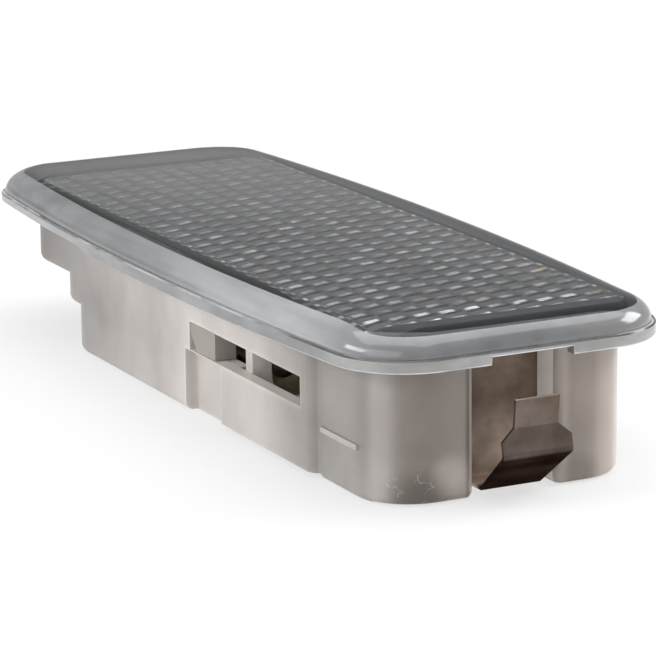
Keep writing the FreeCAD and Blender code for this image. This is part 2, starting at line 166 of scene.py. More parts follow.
def milky_shell():
    """Smoky natural plastic: lighter at the far end, brown-grey round the spring, with painted light along
    its edges and near its bottom, painted light and shade across the spring end, a painted highlight and
    painted shade low there, a darker spot and dust hairs.
    """
    look = Finish(bpy.data.materials.new("milky_shell"))
    # the plastic's tone along its length, with a painted light band at the rounded corner of the spring end
    length = look.ramp(look.along("X", -38 * mm, 42 * mm),
                       [(0.0, (0.185, 0.167, 0.158)), (0.5, (0.61, 0.57, 0.545)),
                        (0.72, (0.50, 0.463, 0.44)), (0.83, (0.30, 0.277, 0.26)),
                        (0.955, (0.28, 0.256, 0.24)), (0.968, (0.41, 0.376, 0.355)),
                        (0.981, (0.40, 0.366, 0.345)), (0.992, (0.28, 0.243, 0.216)),
                        (1.0, (0.25, 0.213, 0.187))])
    # painted light and shade across the spring end: lighter round the recess and towards the back, darker
    # near the front corner
    across = look.ramp(look.along("Y", -13.5 * mm, 13.5 * mm),
                       [(0.055, grey(1.0)), (0.09, grey(0.86)), (0.19, grey(0.88)), (0.31, grey(1.3)),
                        (0.321, grey(1.2)), (0.325, grey(0.72)), (0.333, grey(0.78)),
                        (0.339, grey(1.9)), (0.66, grey(1.7)), (0.695, grey(1.65)), (0.72, grey(1.25)),
                        (0.80, grey(1.3)), (0.84, grey(1.75))])
    flow = look.ramp(look.noise(75, 4, (1, 1, 0.7)), [(0.3, (0.66, 0.645, 0.63)), (0.7, grey(1.12))])
    # painted light along the edges
    glow = look.ramp(look.edge_light(0.9 * mm), [(0.0, grey(0.0)), (1.0, (0.13, 0.125, 0.12))])
    # painted light near the bottom of the walls
    painted_foot_light = look.ramp(look.along("Z", 0.5 * mm, 5 * mm), [(0.0, (0.08, 0.078, 0.075)), (1.0, grey(0.0))])
    dust = look.fibres((42.0 * mm, -10.3 * mm, 0.6 * mm), 3.6 * mm)
    # painted shade low on the spring end, by the front corner
    painted_base_shade = look.ramp(look.spot((42.3 * mm, -9.6 * mm, 0.2 * mm), 4.2 * mm),
                       [(0.0, grey(1.0)), (1.0, (0.50, 0.48, 0.46))])
    # darker at one spot low on the spring end, towards the back
    low_dark_spot = look.ramp(look.spot((42.3 * mm, 6.8 * mm, 0.8 * mm), 2.8 * mm),
                     [(0.0, grey(1.0)), (1.0, (0.68, 0.66, 0.64))])
    # a painted highlight low on the spring end, by the front corner
    painted_highlight_spot = look.ramp(look.spot((42.3 * mm, -6.6 * mm, 2.6 * mm), 2.4 * mm),
                      [(0.0, grey(0.0)), (1.0, (0.12, 0.115, 0.11))])
    spring_end = look.ramp(look.along("X", 35 * mm, 38 * mm), [(0.0, grey(0.0)), (1.0, grey(1.0))])
    smoke_tone_and_painted_light = look.times(look.blend("MULTIPLY", spring_end, length, across), flow)
    lit = look.plus(look.plus(smoke_tone_and_painted_light, glow), painted_foot_light)
    with_base_shade = look.times(look.plus(lit, painted_highlight_spot), painted_base_shade)
    with_dark_spot = look.times(with_base_shade, low_dark_spot)
    look.set("Base Color", look.blend("SCREEN", 0.34, with_dark_spot, dust))
    look.set("Roughness", look.spread(look.noise(220), 0.32, 0.42))
    look.set("IOR", 1.5)
    look.bump(look.noise(900, 2), 0.06, 0.1 * mm)
    return look.owner


def shaded_inside():
    """The inner faces: dim at the far end, almost black towards the spring end."""
    look = Finish(bpy.data.materials.new("shaded_inside"))
    length = look.ramp(look.along("X", -30 * mm, 30 * mm),
                       [(0.0, (0.30, 0.28, 0.27)), (0.5, (0.20, 0.185, 0.175)),
                        (1.0, (0.14, 0.128, 0.12))])
    cloud = look.ramp(look.noise(120, 3), [(0.3, grey(0.7)), (0.7, grey(1.0))])
    look.set("Base Color", look.times(length, cloud))
    look.set("Roughness", look.spread(look.noise(300), 0.45, 0.65))
    look.bump(look.noise(700, 2), 0.1, 0.1 * mm)
    return look.owner


def lit_walls():
    """The walls of the recess, the cross walls and the window sills, painted lighter and with a faint
    painted glow for the light they pass on from behind.
    """
    look = Finish(bpy.data.materials.new("lit_walls"))
    look.set("Base Color", look.ramp(look.noise(80, 3, (1, 1, 2)),
                                     [(0.3, (0.80, 0.745, 0.70)), (0.7, (0.92, 0.865, 0.82))]))
    look.set("Roughness", look.spread(look.noise(220), 0.32, 0.44))
    # a painted glow: these walls are no lamp
    look.set("Emission Color", (0.80, 0.74, 0.68, 1.0))
    look.set("Emission Strength", 0.05)
    look.bump(look.noise(900, 2), 0.06, 0.1 * mm)
    return look.owner


def lit_bar():
    """The plain raised bar on the front wall, painted lighter for the light it catches."""
    look = Finish(bpy.data.materials.new("lit_bar"))
    look.set("Base Color", look.ramp(look.noise(200, 3),
                                     [(0.3, (0.38, 0.36, 0.345)), (0.7, (0.48, 0.46, 0.445))]))
    look.set("Roughness", look.spread(look.noise(300), 0.32, 0.45))
    look.bump(look.noise(900, 2), 0.06, 0.1 * mm)
    return look.owner


def dress(node, *materials):
    """Gives a node carried over from model.glb its finishes and returns its mesh."""
    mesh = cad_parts[node].data
    mesh.materials.clear()
    for material in materials:
        mesh.materials.append(material)
    return mesh


floor_top = 1.6 * mm
inner_wall_x = 26 * mm
inner_wall_y = 9 * mm
inner_half_y = 12.6 * mm
inner_top = 10 * mm
recess_x = 38.2 * mm
recess_half_y = 4.5 * mm
sill_y = 10.5 * mm
sill_z = 6.3 * mm
cross_wall_x = 14 * mm
cross_wall_half_y = 12.4 * mm
bar_y = -13.15 * mm
bar_x = (30.5 * mm, 37.7 * mm)
bar_z = (4.5 * mm, 5.2 * mm)
outer_face, inner_face, lit_face, bar_face = range(4)


def lies_inside(centre, normal):
    """Tells the tray's floor and inner walls from the faces outside."""
    towards_middle_y = normal.y * centre.y < -0.3 * abs(centre.y)
    towards_middle_x = normal.x * centre.x < -0.3 * abs(centre.x)
    side_wall = towards_middle_y and abs(centre.y) > inner_wall_y
    end_wall = towards_middle_x and abs(centre.x) > inner_wall_x
    floor_face = normal.z > 0.8 and centre.z < inner_top and abs(centre.y) < inner_half_y
    return centre.z > floor_top and (side_wall or end_wall or floor_face)


def takes_painted_light(centre, normal):
    """Tells the walls of the recess, the cross wall and the window sills, which get painted light."""
    rounded_mouth = 0.15 < normal.x < 0.95
    in_recess = centre.x > recess_x and abs(centre.y) < recess_half_y and not rounded_mouth
    on_sill = normal.z > 0.8 and abs(centre.z - sill_z) < 0.3 * mm and abs(centre.y) > sill_y
    above_floor = centre.z > floor_top + 0.1 * mm
    in_cross_wall = abs(centre.x - cross_wall_x) < 0.8 * mm and abs(centre.y) < cross_wall_half_y
    return in_recess or on_sill or (in_cross_wall and above_floor)


def on_bar(centre):
    """Tells the faces of the raised bar on the front wall."""
    return centre.y < bar_y and bar_x[0] < centre.x < bar_x[1] and bar_z[0] < centre.z < bar_z[1]


tray = dress("housing", milky_shell(), shaded_inside(), lit_walls(), lit_bar())
for polygon in tray.polygons:
    if on_bar(polygon.center):
        polygon.material_index = bar_face
    elif takes_painted_light(polygon.center, polygon.normal):
        polygon.material_index = lit_face
    elif lies_inside(polygon.center, polygon.normal):
        polygon.material_index = inner_face
    else:
        polygon.material_index = outer_face

# Bulb contacts.
# Two strips stamped from thin brass: each has a plate with a hole that grips a bulb end, a run
# along the floor of the tray and a blade in the plug socket. They are pressed onto moulded ribs.


def stamped_brass():
    """Brass strip with its rolling grain, gone dull."""
    look = Finish(bpy.data.materials.new("stamped_brass"))
    grain = look.noise(300, 4, (8, 1, 1))
    look.set("Base Color", look.ramp(grain, [(0.3, (0.36, 0.30, 0.22)), (0.7, (0.52, 0.45, 0.34))]))
    look.set("Roughness", look.spread(grain, 0.30, 0.44))
    look.set("Metallic", 1.0)
    look.bump(grain, 0.1, 0.05 * mm)
    return look.owner


brass = stamped_brass()
for contact in ("contact_near", "contact_far"):
    dress(contact, brass)

# Festoon bulb.
# A clear glass tube with a nickel-plated pointed cap crimped on each end and a coiled tungsten
# filament between two lead wires. It snaps in between the two contact plates.


def bulb_envelope():
    """Clear glass with a slight haze."""
    look = Finish(bpy.data.materials.new("bulb_envelope"))
    haze = look.noise(120, 3)
    look.set("Base Color", look.ramp(haze, [(0.3, (0.93, 0.95, 0.95)), (0.8, (0.86, 0.87, 0.86))]))
    look.set("Roughness", look.spread(haze, 0.0, 0.05))
    look.set("Transmission Weight", 1.0)
    look.set("IOR", 1.5)
    return look.owner


def nickel_cap():
    """Drawn cap with a bright plating and fine turning marks."""
    look = Finish(bpy.data.materials.new("nickel_cap"))
    turning = look.noise(260, 4, (9, 1, 1))
    look.set("Base Color", look.ramp(turning, [(0.3, (0.52, 0.50, 0.46)), (0.7, (0.70, 0.68, 0.64))]))
    look.set("Roughness", look.spread(turning, 0.29, 0.38))
    look.set("Metallic", 1.0)
    look.bump(turning, 0.08, 0.05 * mm)
    return look.owner


def tungsten_wire():
    """Dark wire with the windings of its coil as fine relief."""
    look = Finish(bpy.data.materials.new("tungsten_wire"))
    coil = look.node("ShaderNodeTexWave", "Fac", {"Vector": look.place, "Scale": 900},
                     bands_direction="X")
    look.set("Base Color", look.ramp(coil, [(0.2, (0.10, 0.10, 0.11)), (0.8, (0.34, 0.34, 0.35))]))
    look.set("Metallic", 1.0)
    look.set("Roughness", 0.35)
    look.bump(coil, 0.6, 0.2 * mm)
    return look.owner


dress("bulb_glass", bulb_envelope())
dress("bulb_filament", tungsten_wire())
caps = nickel_cap()
for cap in ("bulb_cap_near", "bulb_cap_far"):
    dress(cap, caps)

# Reflector tray.
# A thin moulded tray with a vacuum-metallised face. It lies on the contact strips under the bulb
# and its wing leans on the back wall. Its face is painted dark as shade, so from above the inside of the
# lamp looks dark.


def metallised_tray():
    """A thin uneven mirror film, painted dark as the shade inside the lamp."""
    look = Finish(bpy.data.materials.new("metallised_tray"))
    film = look.noise(90, 5)
    look.set("Base Color", look.ramp(film, [(0.3, (0.10, 0.10, 0.105)), (0.7, (0.18, 0.18, 0.185))]))
    look.set("Roughness", look.spread(film, 0.10, 0.24))
    look.set("Metallic", 1.0)
    look.bump(look.noise(40, 2), 0.1, 0.3 * mm)
    return look.owner


dress("reflector", metallised_tray())

# Retaining spring.
# A strip of spring steel bent into a nose that snaps behind the panel edge. Its upright leg slides
# into slots in the sides of the recess. The rolled surface has turned brown.


def spring_steel():
    """Rolled steel turned brown, with painted shade that makes it almost black under the nose and painted
    light at the bottom of the upright leg.
    """
    look = Finish(bpy.data.materials.new("spring_steel"))
    rolling = look.noise(420, 5, (1, 0.12, 1))
    strip = look.ramp(rolling, [(0.3, (0.16, 0.128, 0.108)), (0.7, (0.23, 0.19, 0.165))])
    stain = look.ramp(look.noise(260, 4), [(0.35, (0.66, 0.60, 0.55)), (0.6, grey(1.0))])
    # painted shade under the nose, which faces down
    painted_nose_shade = look.ramp(look.along("Z", 2.6 * mm, 5.2 * mm),
                     [(0.0, (0.25, 0.29, 0.31)), (0.75, (0.30, 0.33, 0.35)), (1.0, grey(1.0))])
    # painted light, lighter towards the bottom of the upright leg
    painted_foot_light = look.ramp(look.along("Z", 2.5 * mm, 7.5 * mm),
                     [(0.0, (4.2, 4.2, 4.1)), (0.5, (2.9, 2.85, 2.8)), (1.0, (1.35, 1.28, 1.2))])
    nose = look.ramp(look.along("X", 40.6 * mm, 41.6 * mm), [(0.0, grey(0.0)), (1.0, grey(1.0))])
    uneven_tone = look.times(strip, stain)
    look.set("Base Color", look.times(uneven_tone, look.blend("MIX", nose, painted_foot_light, painted_nose_shade)))
    look.set("Roughness", look.spread(rolling, 0.30, 0.50))
    look.set("Metallic", look.ramp(nose, [(0.0, grey(0.3)), (1.0, grey(1.0))]))
    look.set("Specular Tint", (0.35, 0.30, 0.27, 1.0))
    look.bump(rolling, 0.15, 0.05 * mm)
    return look.owner


def bare_edge():
    """The cut edges of the strip, where the steel is bare and light."""
    look = Finish(bpy.data.materials.new("bare_edge"))
    cut = look.noise(500, 3)
    look.set("Base Color", look.ramp(cut, [(0.3, (0.34, 0.30, 0.275)), (0.7, (0.50, 0.455, 0.425))]))
    look.set("Roughness", look.spread(cut, 0.30, 0.42))
    look.set("Metallic", 0.4)
    look.bump(cut, 0.1, 0.05 * mm)
    return look.owner


leg_top = 7.5 * mm
rolled_face, cut_face = range(2)
strip_mesh = dress("retaining_clip", spring_steel(), bare_edge())
for polygon in strip_mesh.polygons:
    top_edge = polygon.normal.z > 0.9 and polygon.center.z > leg_top
    back_edge = polygon.normal.y > 0.9
    polygon.material_index = cut_face if top_edge or back_edge else rolled_face

# Lens.
# A clear acrylic cover with bowed sides and a rounded bevel. Its underside carries a field of
# small square prisms that spread the light. A skirt runs round the rim and two tongues snap in.
lens_low, lens_high = (Vector(corner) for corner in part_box("lens"))
lens_length = 2 * min(lens_high.x, -lens_low.x)
lens_width = lens_high.y - lens_low.y
lens_top = lens_high.z
lens_side_bow = 2.3 * mm
lens_end_bow = 0.15 * mm
lens_corner = 7.3 * mm
lens_crown = 0.2 * mm
lens_plate = 1.8 * mm
lens_rise = 3.6 * mm
skirt_height = 0.9 * mm
skirt_wall = 1.2 * mm
skirt_step = 0.3 * mm
skirt_step_x = -14.2 * mm
notch_low_y = -3.9 * mm
notch_high_y = 4.4 * mm
lip_height = 1.2 * mm
lip_shoulder = 0.35 * mm
edge_round = 0.14 * mm
bevel_width = 3.2 * mm
bevel_turns = 24
satin_turns = 16
satin_share = 0.79
satin_share_near = 0.60
satin_change_x = (36 * mm, 44 * mm)
flange_shade = 1.3 * mm
prism_pitch = 2.5 * mm
prism_columns = 30
prism_rows = 10
prism_depth = 0.6 * mm
prism_tip = 0.6
prism_field_x = 1.8 * mm
well_far_x = -36.6 * mm
well_near_x = 41.0 * mm
well_half_y = 12.9 * mm
well_corner = 2.4 * mm
tongue_x = (3.7 * mm, 9.2 * mm)
tongue_y = (11.5 * mm, 12.4 * mm)
tongue_low = 6.4 * mm
tongue_chamfer = 1.4 * mm
barb_y = 13.7 * mm
barb_high = 9.0 * mm
skirt_low = lens_top - lens_rise
flange_low = skirt_low + skirt_height
prism_base = lens_top - lens_plate
side_parts = 48
end_parts = 20
corner_parts = 16
well_corner_parts = 8
corner_rounds = 40
step_pair = 0.02 * mm
crown_shares = (0.8, 0.6, 0.4, 0.2, 0.05)
weld_gap = 0.01 * mm
sharp_angle = math.radians(28)
acrylic_ior = 1.49


def lens_edges(inset):
    """The bowed side and end of the outline moved inwards by inset, and the round corner between them."""
    a = lens_length / 2 - inset
    b = lens_width / 2 - inset
    radius = lens_corner - inset
    ca = a - lens_end_bow
    cb = b - lens_side_bow

    def side_y(x):
        return b - lens_side_bow * (x / ca) ** 2

    def end_x(y):
        return a - lens_end_bow * (y / cb) ** 2

    centre = Vector((a - radius, b - radius))
    for step in range(corner_rounds):
        side_normal = Vector((2 * lens_side_bow * centre.x / ca ** 2, 1)).normalized()
        end_normal = Vector((1, 2 * lens_end_bow * centre.y / cb ** 2)).normalized()
        centre = Vector((end_x(centre.y + radius * end_normal.y) - radius * end_normal.x,
                         side_y(centre.x + radius * side_normal.x) - radius * side_normal.y))
    start = math.atan2(end_normal.y, end_normal.x)
    stop = math.atan2(side_normal.y, side_normal.x)
    corner = []
    for i in range(corner_parts + 1):
        angle = start + (stop - start) * i / corner_parts
        corner.append(centre + radius * Vector((math.cos(angle), math.sin(angle))))
    return side_y, end_x, corner


def shares(reach, parts, edges):
    """Even shares from -1 to 1, with a close pair of points at each edge so that a step there is square."""
    pairs = [(edge + shift) / reach for edge in edges for shift in (-step_pair, step_pair)]
    even = [-1 + 2 * i / parts for i in range(1, parts)]
    return sorted([s for s in even if min(abs(s - p) for p in pairs) > 0.4 / parts] + pairs)


outer_corner = lens_edges(0.0)[2]
row_shares = shares(outer_corner[0].y, end_parts, (notch_low_y, notch_high_y))
column_shares = shares(outer_corner[-1].x, side_parts, (skirt_step_x,))


def lens_ring(inset):
    """Points round the lens outline moved inwards by inset, counter-clockwise from the spring end."""
    side_y, end_x, corner = lens_edges(inset)
    rows = [share * corner[0].y for share in row_shares]
    columns = [share * corner[-1].x for share in column_shares]
    ring = [Vector((end_x(y), y)) for y in rows]
    ring += corner
    ring += [Vector((x, side_y(x))) for x in reversed(columns)]
    ring += [Vector((-p.x, p.y)) for p in reversed(corner)]
    ring += [Vector((-end_x(y), y)) for y in reversed(rows)]
    ring += [Vector((-p.x, -p.y)) for p in corner]
    ring += [Vector((x, -side_y(x))) for x in columns]
    ring += [Vector((p.x, -p.y)) for p in reversed(corner)]
    return ring


def bevel_angle(turn, point):
    """Slope of the bevel at one of its turns; the satin turns reach less far up at the spring end."""
    first, last = satin_change_x
    near = min(max((point.x - first) / (last - first), 0.0), 1.0)
    share = satin_share + (satin_share_near - satin_share) * near * near * (3 - 2 * near)
    if turn <= satin_turns:
        return math.pi / 2 * share * turn / satin_turns
    return math.pi / 2 * (share + (1 - share) * (turn - satin_turns) / (bevel_turns - satin_turns))


def skirt_edge(point):
    """Level of the skirt's lower edge: notched at the spring end, shallower along the far part."""
    if point.x > lens_length / 4 and notch_low_y < point.y < notch_high_y:
        return flange_low - edge_round * 1.2
    if point.x < skirt_step_x:
        return skirt_low + skirt_step
    return skirt_low


def prism_field_tree():
    """Nodes that raise one flat-tipped prism on every cell of a flat grid, with sizes as inputs."""
    tree = bpy.data.node_groups.new("prism_field", "GeometryNodeTree")
    face = tree.interface
    face.new_socket("Geometry", in_out="OUTPUT", socket_type="NodeSocketGeometry")
    for label, kind in (("Length", "Float"), ("Width", "Float"), ("Columns", "Int"), ("Rows", "Int"),
                        ("Depth", "Float"), ("Tip", "Float"), ("Finish", "Material")):
        face.new_socket(label, in_out="INPUT", socket_type="NodeSocket" + kind)
    nodes, links = tree.nodes, tree.links
    inputs = nodes.new("NodeGroupInput")
    grid = nodes.new("GeometryNodeMeshGrid")
    links.new(inputs.outputs["Length"], grid.inputs["Size X"])
    links.new(inputs.outputs["Width"], grid.inputs["Size Y"])
    for label, socket in (("Columns", "Vertices X"), ("Rows", "Vertices Y")):
        more = nodes.new("ShaderNodeMath")
        more.inputs[1].default_value = 1.0
        links.new(inputs.outputs[label], more.inputs[0])
        links.new(more.outputs["Value"], grid.inputs[socket])
    raise_cells = nodes.new("GeometryNodeExtrudeMesh")
    raise_cells.inputs["Individual"].default_value = True
    links.new(grid.outputs["Mesh"], raise_cells.inputs["Mesh"])
    links.new(inputs.outputs["Depth"], raise_cells.inputs["Offset Scale"])
    narrow = nodes.new("GeometryNodeScaleElements")
    links.new(raise_cells.outputs["Mesh"], narrow.inputs["Geometry"])
    links.new(raise_cells.outputs["Top"], narrow.inputs["Selection"])
    links.new(inputs.outputs["Tip"], narrow.inputs["Scale"])
    realize = nodes.new("GeometryNodeRealizeInstances")
    links.new(narrow.outputs["Geometry"], realize.inputs["Geometry"])
    finish = nodes.new("GeometryNodeSetMaterial")
    links.new(realize.outputs["Geometry"], finish.inputs["Geometry"])
    links.new(inputs.outputs["Finish"], finish.inputs["Material"])
    outputs = nodes.new("NodeGroupOutput")
    links.new(finish.outputs["Geometry"], outputs.inputs["Geometry"])
    return tree


def grown_mesh(name, tree, values):
    """Evaluates a node tree on an empty mesh and returns the plain mesh that it makes."""
    carrier = bpy.data.objects.new(name, bpy.data.meshes.new(name + "_seed"))
    bpy.context.scene.collection.objects.link(carrier)
    modifier = carrier.modifiers.new("grow", "NODES")
    modifier.node_group = tree
    for item in tree.interface.items_tree:
        if item.in_out == "INPUT":
            modifier[item.identifier] = values[item.name]
    bpy.context.view_layer.update()
    seen = carrier.evaluated_get(bpy.context.evaluated_depsgraph_get())
    mesh = bpy.data.meshes.new_from_object(seen)
    carrier.modifiers.remove(modifier)
    bpy.data.objects.remove(carrier)
    return mesh


def clear_acrylic():
    """Polished plastic with a little dust on it."""
    look = Finish(bpy.data.materials.new("clear_acrylic"))
    dust = look.noise(500, 5)
    look.set("Base Color", look.ramp(look.noise(30, 2),
                                     [(0.3, (0.90, 0.92, 0.925)), (0.7, (0.95, 0.965, 0.97))]))
    look.set("Roughness", look.spread(dust, 0.02, 0.10))
    look.set("Transmission Weight", 1.0)
    look.set("IOR", acrylic_ior)
    look.bump(look.noise(45, 2), 0.05, 0.2 * mm)
    return look.owner


def frosted_acrylic():
    """The spark-eroded inside of the skirt with the edge of the rim's underside, and the tongues, darker
    and warmer towards the bottom.
    """
    look = Finish(bpy.data.materials.new("frosted_acrylic"))
    rim = look.ramp(look.noise(70, 3), [(0.3, (0.47, 0.465, 0.46)), (0.7, (0.58, 0.575, 0.57))])
    depth = look.ramp(look.along("Z", 9 * mm, 12.5 * mm), [(0.0, (0.62, 0.59, 0.54)), (1.0, grey(1.0))])
    look.set("Base Color", look.times(rim, depth))
    look.set("Roughness", look.spread(look.noise(400), 0.5, 0.7))
    look.bump(look.noise(800, 3), 0.2, 0.1 * mm)
    return look.owner


def satin_rim():
    """The bevel, painted: clear plastic so full of light that it reads as a cool grey, with painted light
    towards the top, a painted reflection along the near part and a painted shadow low on the far part.
    """
    look = Finish(bpy.data.materials.new("satin_rim"))
    streak = look.noise(160, 3, (0.2, 1, 3))
    # painted light: lighter towards the top of the bevel
    height = look.ramp(look.along("Z", 13.2 * mm, 16.4 * mm),
                       [(0.0, (0.46, 0.465, 0.47)), (0.35, (0.52, 0.525, 0.53)),
                        (1.0, (0.57, 0.575, 0.58))])
    # painted reflection of the lamps, lightest a little short of the spring end
    length = look.ramp(look.along("X", -45 * mm, 45 * mm),
                       [(0.0, grey(0.60)), (0.5, grey(0.66)), (0.86, grey(1.18)), (0.93, grey(0.86)),
                        (1.0, (0.56, 0.556, 0.552))])
    veil = look.ramp(streak, [(0.35, (0.74, 0.75, 0.76)), (0.65, grey(1.06))])
    mottle = look.ramp(look.noise(300, 3, (0.7, 1, 1)), [(0.38, grey(0.80)), (0.62, grey(1.10))])
    far_end = look.ramp(look.along("X", -40 * mm, 0.0), [(0.0, grey(1.0)), (1.0, grey(0.25))])
    body = look.blend("MULTIPLY", far_end, look.times(height, length), mottle)
    # painted shadow low on the bevel along the far part, broken by gaps
    painted_shadow_band = look.ramp(look.along("Z", 13.9 * mm, 15.4 * mm),
                         [(0.0, (0.50, 0.52, 0.54)), (0.40, (0.58, 0.60, 0.62)), (0.72, grey(1.0))])
    band_reach = look.ramp(look.along("X", -45 * mm, 36 * mm),
                           [(0.0, grey(1.0)), (0.6, grey(0.8)), (1.0, grey(0.0))])
    band_gaps = look.ramp(look.noise(110, 3, (0.5, 1, 1)), [(0.36, grey(0.35)), (0.56, grey(1.0))])
    banded = look.blend("MULTIPLY", look.times(band_reach, band_gaps), body, painted_shadow_band)
    look.set("Base Color", look.times(banded, veil))
    look.set("Roughness", look.spread(look.noise(300), 0.06, 0.16))
    look.set("IOR", acrylic_ior)
    look.set("Specular IOR Level", 0.95)
    look.set("Transmission Weight", 0.25)
    look.bump(streak, 0.1, 0.1 * mm)
    return look.owner


slant_x = 0.77
slant_y = -0.385
row_slope = 0.28
dash_fade = 0.14
tooth_lean = 1.2
tooth_gap = (0.27, 0.315, 0.325)


def prism_facets(name, floor_tone, line_tone, dash_tone, last_gain, dash_reach):
    """The prisms as they show through the plate, painted: in each cell a light dash of painted glint above
    a thin dark wave of painted shade, with painted coloured glints and lighter last rows, calming to plain
    grey far away.
    """
    look = Finish(bpy.data.materials.new(name))
    x, y, z = (look.node("ShaderNodeSeparateXYZ", axis, {"Vector": look.place}) for axis in "XYZ")
    # the pattern slants with depth, so that tip and valley line up for a viewer at the spring end
    deep = look.reckon("SUBTRACT", prism_base, z)
    across = look.reckon("DIVIDE", look.reckon("MULTIPLY_ADD", deep, slant_y, y), prism_pitch)
    ahead = look.reckon("DIVIDE", look.reckon("MULTIPLY_ADD", deep, slant_x, x), prism_pitch)
    cell = look.reckon("FRACT", across)
    wobble = look.reckon("MULTIPLY_ADD", look.noise(460, 2), 0.35, 0.10)
    lean = look.reckon("MULTIPLY_ADD", cell, row_slope, ahead)
    row = look.reckon("FRACT", look.reckon("ADD", lean, wobble))
    low, high = dash_reach
    mask = look.ramp(cell, [(low, grey(0.0)), (low + dash_fade, grey(1.0)),
                            (high - dash_fade, grey(1.0)), (high, grey(0.0))])
    # painted glints: a light dash in each cell, and below it a painted dark wave of shade
    dash = look.ramp(row, [(0.02, grey(0.0)), (0.12, grey(1.0)), (0.30, grey(1.0)), (0.40, grey(0.0))])
    wave = look.ramp(row, [(0.36, floor_tone), (0.45, line_tone), (0.58, line_tone),
                           (0.70, floor_tone)])
    sparkle = look.noise(330, 3)
    bright = look.ramp(sparkle, [(0.34, dash_tone), (0.48, (0.46, 0.465, 0.465)),
                                 (0.62, (1.1, 1.11, 1.11))])
    # painted coloured glints, bluish and orange here and there
    painted_glint_colour = look.ramp(look.noise(210, 1), [(0.30, (0.62, 0.74, 1.0)), (0.36, grey(1.0)),
                                          (0.63, grey(1.0)), (0.70, (1.0, 0.74, 0.42))])
    # painted light: the last rows towards the spring end lighter by last_gain
    last_rows = look.ramp(look.along("X", 34 * mm, 37 * mm), [(0.0, grey(1.0)), (1.0, grey(last_gain))])
    calm = look.ramp(look.along("X", -36 * mm, 0.0),
                     [(0.0, grey(0.8)), (0.45, grey(0.5)), (1.0, grey(0.0))])
    plain = look.ramp(sparkle, [(0.3, (0.29, 0.285, 0.285)), (0.7, (0.34, 0.335, 0.335))])
    lit = look.times(look.times(bright, painted_glint_colour), last_rows)
    dashes = look.times(look.times(lit, dash), mask)
    pattern = look.plus(wave, dashes)
    look.set("Base Color", look.blend("MIX", calm, pattern, plain))
    look.set("Roughness", look.spread(sparkle, 0.3, 0.5))
    look.set("Transmission Weight", 0.2)
    look.set("IOR", acrylic_ior)
    look.bump(sparkle, 0.1, 0.1 * mm)
    return look.owner


def edge_teeth():
    """The front wall of the well through the rim: painted glints, light slanting teeth on grey-green, one
    to a column.
    """
    look = Finish(bpy.data.materials.new("edge_teeth"))
    lean = (1 / prism_pitch, 0.0, -tooth_lean / prism_pitch)
    run = look.node("ShaderNodeVectorMath", "Value", {0: look.place, 1: lean}, operation="DOT_PRODUCT")
    tooth = look.ramp(look.reckon("FRACT", run),
                      [(0.10, tooth_gap), (0.26, grey(1.0)), (0.48, grey(1.0)), (0.64, tooth_gap)])
    # uneven brightness of the painted teeth
    uneven_tone = look.ramp(look.noise(240, 3), [(0.35, grey(0.8)), (0.6, grey(1.0))])
    look.set("Base Color", look.times(tooth, uneven_tone))
    look.set("Roughness", look.spread(look.noise(300), 0.3, 0.45))
    look.bump(look.noise(400, 2), 0.1, 0.05 * mm)
    return look.owner


def bright_edge():
    """The rounded lower edge of the skirt, painted light where the light inside the plastic comes out,
    dimmer away from the spring end.
    """
    look = Finish(bpy.data.materials.new("bright_edge"))
    length = look.ramp(look.along("X", 10 * mm, 36 * mm),
                       [(0.0, (0.36, 0.365, 0.37)), (1.0, grey(1.0))])
    gleam = look.ramp(look.noise(260, 3), [(0.35, (0.5, 0.51, 0.52)), (0.6, (0.86, 0.87, 0.88))])
    look.set("Base Color", look.times(gleam, length))
    look.set("Roughness", look.spread(look.noise(300), 0.1, 0.2))
    look.bump(look.noise(400, 2), 0.1, 0.05 * mm)
    return look.owner


def shaded_flange():
    """The rim's underside and the well's ends: dark over the gap beside the housing, greyer far away."""
    look = Finish(bpy.data.materials.new("shaded_flange"))
    length = look.ramp(look.along("X", -42 * mm, 42 * mm),
                       [(0.0, grey(0.19)), (0.12, (0.13, 0.132, 0.135)), (0.4, (0.062, 0.073, 0.077)),
                        (1.0, (0.046, 0.058, 0.078))])
    cloud = look.ramp(look.noise(90, 3), [(0.3, grey(0.75)), (0.7, grey(1.0))])
    look.set("Base Color", look.times(length, cloud))
    look.set("Roughness", look.spread(look.noise(400), 0.4, 0.6))
    look.bump(look.noise(800, 3), 0.1, 0.1 * mm)
    return look.owner


def skirt_band():
    """The skirt: clear plastic before the milky wall, a cloudy grey that warms towards the spring end."""
    look = Finish(bpy.data.materials.new("skirt_band"))
    length = look.ramp(look.along("X", -45 * mm, 45 * mm),
                       [(0.0, (0.30, 0.295, 0.295)), (0.8, (0.25, 0.252, 0.257)),
                        (0.93, (0.29, 0.288, 0.285)), (1.0, (0.38, 0.372, 0.364))])
    cloud = look.ramp(look.noise(150, 4, (1, 1, 2.5)), [(0.35, grey(0.80)), (0.65, grey(1.12))])
    look.set("Base Color", look.times(length, cloud))
    look.set("Roughness", look.spread(look.noise(300), 0.06, 0.16))
    look.set("IOR", acrylic_ior)
    look.bump(look.noise(150, 3), 0.1, 0.1 * mm)
    return look.owner


def shoulder_line():
    """The thin step between skirt and bevel: a painted dark line of shade at the spring end that fades
    along the sides.
    """
    look = Finish(bpy.data.materials.new("shoulder_line"))
    length = look.ramp(look.along("X", 22 * mm, 40 * mm),
                       [(0.0, (0.34, 0.345, 0.35)), (1.0, (0.075, 0.08, 0.088))])
    broken = look.ramp(look.noise(180, 3), [(0.4, grey(0.6)), (0.6, grey(1.3))])
    look.set("Base Color", look.times(length, broken))
    look.set("Roughness", look.spread(look.noise(300), 0.1, 0.2))
    look.bump(look.noise(400, 2), 0.1, 0.05 * mm)
    return look.owner


